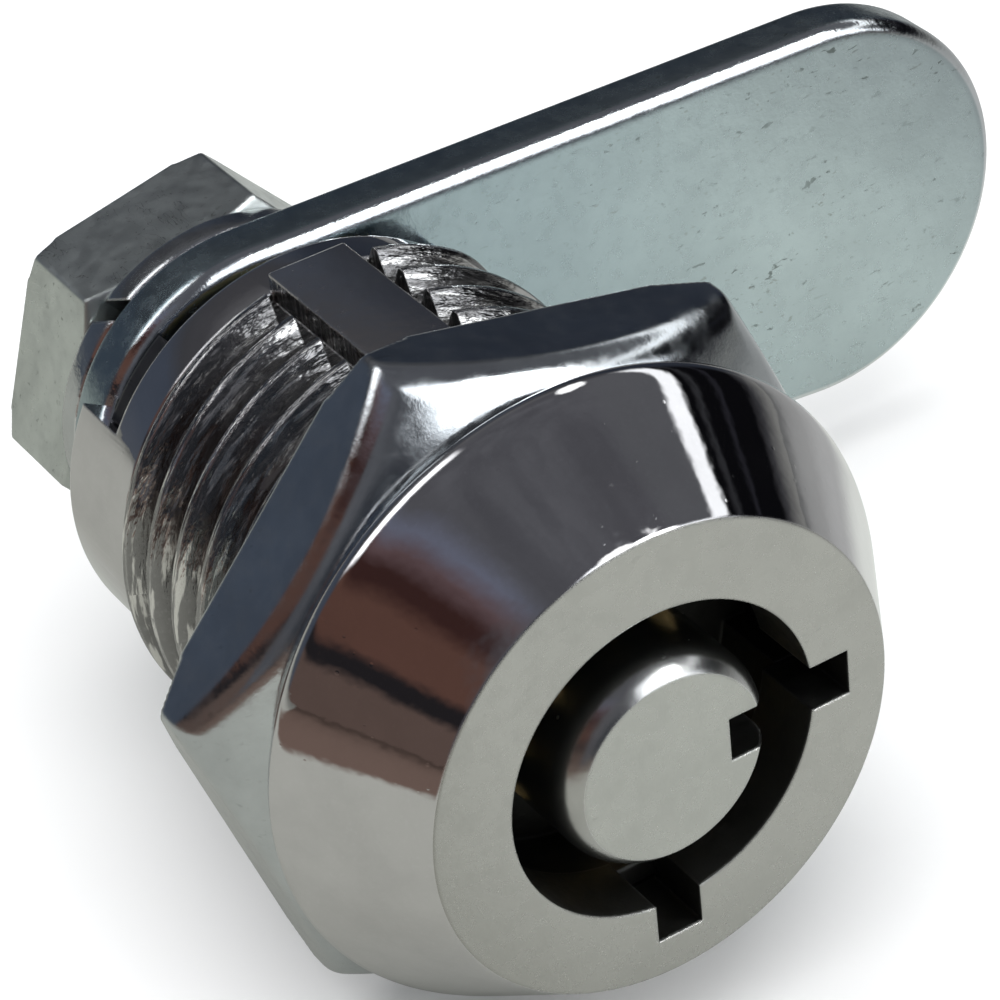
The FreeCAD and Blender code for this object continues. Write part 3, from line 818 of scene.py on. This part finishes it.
def cam_loop(bm, inset, y):
    """The cam's outline at a depth, drawn in by an inset: hub arc, tip arc, straight sides."""
    lean = math.degrees(math.asin((CAM_TIP_R - CAM_HUB_R) / CAM_REACH))
    points = []
    hub_steps, tip_steps, side_steps = 72, 96, 24
    for k in range(hub_steps + 1):
        a = math.radians(90 + lean + (180 - 2 * lean) * k / hub_steps)
        points.append(((CAM_HUB_R - inset) * math.cos(a), (CAM_HUB_R - inset) * math.sin(a)))
    low = math.radians(-90 - lean)
    tip_low = (CAM_REACH + (CAM_TIP_R - inset) * math.cos(low), (CAM_TIP_R - inset) * math.sin(low))
    last = points[-1]
    for k in range(1, side_steps):
        t = k / side_steps
        points.append((last[0] + (tip_low[0] - last[0]) * t, last[1] + (tip_low[1] - last[1]) * t))
    for k in range(tip_steps + 1):
        a = math.radians(-90 - lean + (180 + 2 * lean) * k / tip_steps)
        points.append((CAM_REACH + (CAM_TIP_R - inset) * math.cos(a), (CAM_TIP_R - inset) * math.sin(a)))
    last = points[-1]
    first = points[0]
    for k in range(1, side_steps):
        t = k / side_steps
        points.append((last[0] + (first[0] - last[0]) * t, last[1] + (first[1] - last[1]) * t))
    turn = math.radians(CAM_ANGLE)
    loop = []
    for x, z in points:
        loop.append(bm.verts.new((
            (x * math.cos(turn) - z * math.sin(turn)) * MM, y * MM,
            (x * math.sin(turn) + z * math.cos(turn)) * MM)))
    return loop


def cam():
    """Pressed flat cam: rolled front edge, smaller rear burr edge, square hole."""
    front_edge, rear_edge = 0.6, 0.3
    bm = bmesh.new()
    loops = []
    steps = 8
    for k in range(steps + 1):
        a = math.radians(90 * k / steps)
        y = CAM_FRONT_Y + front_edge * (1 - math.cos(a))
        loops.append(cam_loop(bm, front_edge * (1 - math.sin(a)), y))
    for k in range(steps + 1):
        a = math.radians(90 * k / steps)
        y = CAM_REAR_Y - rear_edge * (1 - math.sin(a))
        loops.append(cam_loop(bm, rear_edge * (1 - math.cos(a)), y))
    join_loops(bm, loops)
    bm.faces.new(loops[0])
    bm.faces.new(loops[-1])
    plate = to_object("cam_plate", bm)
    half = CAM_SQUARE / 2
    hole = block("hole", (-half, CAM_FRONT_Y - 1, -half), (half, CAM_REAR_Y + 1, half))
    combine(plate, "DIFFERENCE", hole)
    finish_piece(plate, "spindle", "cam", [CAM_ZINC], crease=40)


def spring_washer():
    """Split spring washer with rounded edges and a slanting cut."""
    ring = lathe("split_washer", rounded([
        (WASHER_BORE_R, WASHER_FRONT_Y, 0.1), (WASHER_R, WASHER_FRONT_Y, 0.3),
        (WASHER_R, WASHER_REAR_Y, 0.18), (WASHER_BORE_R, WASHER_REAR_Y, 0.1)]))
    middle = (WASHER_FRONT_Y + WASHER_REAR_Y) / 2
    split = block("split", (1, middle - 2, -0.35), (8, middle + 2, 0.35), WASHER_SPLIT_ANGLE, lean=30)
    combine(ring, "DIFFERENCE", split)
    finish_piece(ring, "spindle", "spring_washer", [WASHER_ZINC])


lock_case()
spindle()
finish_piece(
    nut("panel_nut", MOUNT_NUT_FLATS, MOUNT_NUT_BORE_R, NUT_FRONT_Y, NUT_REAR_Y, MOUNT_NUT_PHASE,
        MOUNT_NUT_FRONT_FACE, MOUNT_NUT_FRONT_CURVE, MOUNT_NUT_CREST),
    "mounting_nut", "mounting_nut", [NUT_ZINC], crease=40)
finish_piece(
    nut("cam_fixing_nut", CAM_NUT_FLATS, CAM_NUT_BORE_R, CAM_NUT_FRONT_Y, CAM_NUT_REAR_Y, CAM_NUT_PHASE,
        PLAIN_NUT_FACE, PLAIN_NUT_CURVE, CAM_NUT_CREST),
    "spindle", "cam_nut", [CAM_NUT_ZINC], crease=40)
cam()
spring_washer()

# CAD nodes whose shape is right get a material only; the stop washer's is a near-black painted shade
CARRIED = {"pin_carrier": CARRIER_BRASS, "retaining_pin": PIN_STEEL, "stop_washer": STOP_WASHER_SHADE}
for number in range(1, len(PIN_ANGLES) + 1):
    CARRIED["key_pin_%d" % number] = PIN_BRASS
    CARRIED["driver_pin_%d" % number] = DRIVER_METAL
    CARRIED["pin_spring_%d" % number] = SPRING_STEEL
for name, material in CARRIED.items():
    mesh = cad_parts[name].data
    mesh.materials.clear()
    mesh.materials.append(material)


# ---------------------------------------------------------------- floor, light, camera

def floor():
    """Plain pale floor under the lock. In reflections only, metal sees it with a painted shadow on the left,
    painted light on the right that dims further out, and wood beyond.
    """
    bm = bmesh.new()
    bmesh.ops.create_grid(bm, x_segments=1, y_segments=1, size=3.0)
    plane = to_object("floor", bm)
    plane.location.z = cad_low.z - 0.02 * MM
    s = Shader("floor_pale")
    split = s.node("SeparateXYZ")
    s.feed(split.inputs[0], s.place)
    across = split.outputs["X"]
    # painted shadow and light in the floor's reflected colour: shaded on the left, lit on the right, dimmer
    # far to the right
    shaded, lit = (0.325, 0.325, 0.295), (0.57, 0.58, 0.55)
    fading, far_right = (0.335, 0.335, 0.33), (0.265, 0.265, 0.26)
    brown = (0.120, 0.082, 0.068)
    reflected = s.mix(s.span(across, -13, 5), shaded, lit)
    reflected = s.mix(s.span(across, 27, 48), reflected, fading)
    reflected = s.mix(s.span(across, 50, 100), reflected, far_right)
    wood = s.math("MULTIPLY", s.span(across, -62, -76), s.span(split.outputs["Y"], 70, 45))
    reflected = s.mix(wood, reflected, brown)
    mixed = s.node("MixShader")
    s.feed(mixed.inputs[0], s.node("LightPath").outputs["Is Glossy Ray"])
    for socket, color in ((mixed.inputs[1], (0.87, 0.87, 0.87)), (mixed.inputs[2], reflected)):
        matt = s.node("BsdfDiffuse")
        s.feed(matt.inputs["Color"], tint(color))
        s.feed(socket, matt.outputs[0])
    s.feed(s.out.inputs["Surface"], mixed.outputs[0])
    plane.data.materials.append(s.material)


def studio_world():
    """Soft even light for the floor, and a dim room with a few bright and dark panels for the metal."""
    world = bpy.data.worlds.new("studio")
    bpy.context.scene.world = world
    world.use_nodes = True
    s = Shader.__new__(Shader)
    s.tree = world.node_tree
    s.tree.nodes.clear()
    out = s.node("OutputWorld")
    toward = s.vector("NORMALIZE", s.node("TexCoord").outputs["Generated"])
    s.place = toward
    split = s.node("SeparateXYZ")
    s.feed(split.inputs[0], toward)
    haze = s.noise(3.2, detail=5, rough=0.6)

    def patch(centre, inner, outer):
        """A soft round panel about a direction; inner and outer are angles in degrees."""
        close = s.vector("DOT_PRODUCT", toward, tuple(Vector(centre).normalized()))
        return s.span(close, math.cos(math.radians(outer)), math.cos(math.radians(inner)))

    right, along, height = split.outputs
    room = s.mix(s.span(haze, 0.35, 0.68), (0.090, 0.090, 0.102), (0.125, 0.126, 0.140))
    # left: brown woodwork in two bands with a dark gap, a cool gleam above
    brown, dark_gap, deep = (0.115, 0.058, 0.045), (0.018, 0.016, 0.018), (0.045, 0.020, 0.018)
    low_brown = (0.120, 0.082, 0.070)
    left_side = s.ramp(
        height, (-0.1, low_brown), (0.20, low_brown), (0.25, dark_gap), (0.31, dark_gap),
        (0.37, brown), (0.56, brown), (0.64, deep), (0.69, deep), (0.76, (0.125, 0.080, 0.085)),
        (0.83, (0.15, 0.16, 0.215)), (0.90, (0.10, 0.10, 0.112)))
    beside = s.math("MULTIPLY", s.span(right, -0.22, -0.42), s.span(along, -0.50, -0.40))
    room = s.mix(beside, room, left_side)
    # right: dark wall under a narrow bright strip
    black, grey, strip = (0.004, 0.004, 0.005), (0.115, 0.117, 0.128), (1.4, 1.42, 1.45)
    right_side = s.ramp(
        height, (0.0, (0.25, 0.25, 0.24)), (0.10, (0.05, 0.05, 0.055)), (0.15, black), (0.29, black),
        (0.31, (0.022, 0.022, 0.028)), (0.34, black), (0.41, black), (0.43, (0.035, 0.036, 0.04)),
        (0.46, black), (0.49, black), (0.51, strip), (0.575, strip), (0.595, grey), (0.9, grey))
    room = s.mix(s.span(right, 0.50, 0.62), room, right_side)
    # behind: dim and bluish, with a lighter band high up
    back_side = s.ramp(
        height, (-0.1, (0.10, 0.11, 0.13)), (0.20, (0.065, 0.078, 0.105)), (0.42, (0.060, 0.072, 0.098)),
        (0.52, (0.056, 0.057, 0.064)), (0.63, (0.066, 0.066, 0.073)), (0.72, (0.13, 0.13, 0.138)),
        (0.95, (0.10, 0.10, 0.11)))
    behind = s.math("ADD", along, s.math("MULTIPLY", s.math("SUBTRACT", haze, 0.5), 0.15))
    dim = s.math("MULTIPLY", s.span(right, 0.30, 0.50), s.span(height, 0.50, 0.44))
    back_side = s.mix(s.math("MULTIPLY", dim, 0.65), back_side, (0.012, 0.014, 0.02))
    room = s.mix(s.span(behind, 0.38, 0.52), room, back_side)
    # front: dark, with a wide window on the right and a smaller pane above its near end
    room = s.mix(patch((-0.32, -0.94, 0.10), 20, 31), room, (0.045, 0.048, 0.058))
    front = s.math("MULTIPLY", s.span(along, -0.45, -0.60), s.span(right, -0.02, 0.10))
    sinking = s.math("ADD", height, s.math("MULTIPLY", right, 0.35))
    window = s.math("MULTIPLY", s.span(sinking, 0.47, 0.54), s.span(height, 0.74, 0.66))
    upper = s.math("MULTIPLY", s.span(height, 0.58, 0.64), s.span(height, 0.90, 0.85))
    upper = s.math("MULTIPLY", upper, s.span(along, -0.34, -0.42))
    upper = s.math("MULTIPLY", upper, s.math(
        "MULTIPLY", s.span(right, 0.0, 0.08), s.span(right, 0.36, 0.32)))
    window = s.math("MAXIMUM", s.math("MULTIPLY", front, window), upper)
    window_light = (2.3, 2.35, 2.45)
    room = s.mix(window, room, window_light)
    # overhead: a ceiling lamp, and a long strip lamp behind that runs down to the left
    lamp_light, strip_light = (14.0, 14.0, 14.0), (2.6, 2.6, 2.65)
    room = s.mix(patch((0.48, -0.46, 0.745), 7, 10), room, lamp_light)
    line = s.math("MULTIPLY", s.span(along, 0.22, 0.26), s.span(along, 0.50, 0.46))
    line = s.math("MULTIPLY", line, s.span(right, -0.05, -0.20))
    line = s.math("MULTIPLY", line, s.span(right, -0.74, -0.64))
    room = s.mix(s.math("MULTIPLY", line, s.span(height, 0.0, 0.08)), room, strip_light)
    mixed = s.node("MixShader")
    s.feed(mixed.inputs[0], s.node("LightPath").outputs["Is Glossy Ray"])
    for socket, color in ((mixed.inputs[1], (0.62, 0.63, 0.64)), (mixed.inputs[2], room)):
        background = s.node("Background")
        s.feed(background.inputs["Color"], tint(color))
        s.feed(socket, background.outputs[0])
    s.feed(out.inputs["Surface"], mixed.outputs[0])


def soft_light(name, place, target, size, power, in_reflections):
    """A square soft box aimed at a point; places in mm."""
    data = bpy.data.lights.new(name, "AREA")
    data.size = size * MM
    data.energy = power
    lamp = bpy.data.objects.new(name, data)
    bpy.context.scene.collection.objects.link(lamp)
    lamp.location = Vector(place) * MM
    lamp.rotation_euler = (Vector(target) - Vector(place)).to_track_quat("-Z", "Y").to_euler()
    lamp.visible_glossy = in_reflections


def camera():
    """The viewing angle of the original picture: from the front, left and above, slightly rolled."""
    data = bpy.data.cameras.new("camera")
    data.lens = 147.2
    data.sensor_width = 36.0
    data.clip_start = 0.005
    data.clip_end = 20.0
    eye = Vector((-45.51, -79.33, 71.23))
    aim = Vector((-1.12, 1.06, 6.24))
    roll = -6.522
    cam_object = bpy.data.objects.new("camera", data)
    bpy.context.scene.collection.objects.link(cam_object)
    turn = (aim - eye).to_track_quat("-Z", "Y").to_matrix().to_4x4()
    cam_object.matrix_world = (
        Matrix.Translation(eye * MM) @ turn @ Matrix.Rotation(math.radians(roll), 4, "Z"))
    bpy.context.scene.camera = cam_object


floor()
studio_world()
soft_light("top_soft_box", (-60, -40, 420), (0, 0, 0), 520, 2.2, False)
soft_light("front_soft_box", (120, -300, 160), (0, 0, 0), 180, 0.35, False)
camera()
bpy.context.scene.view_settings.view_transform = "Standard"
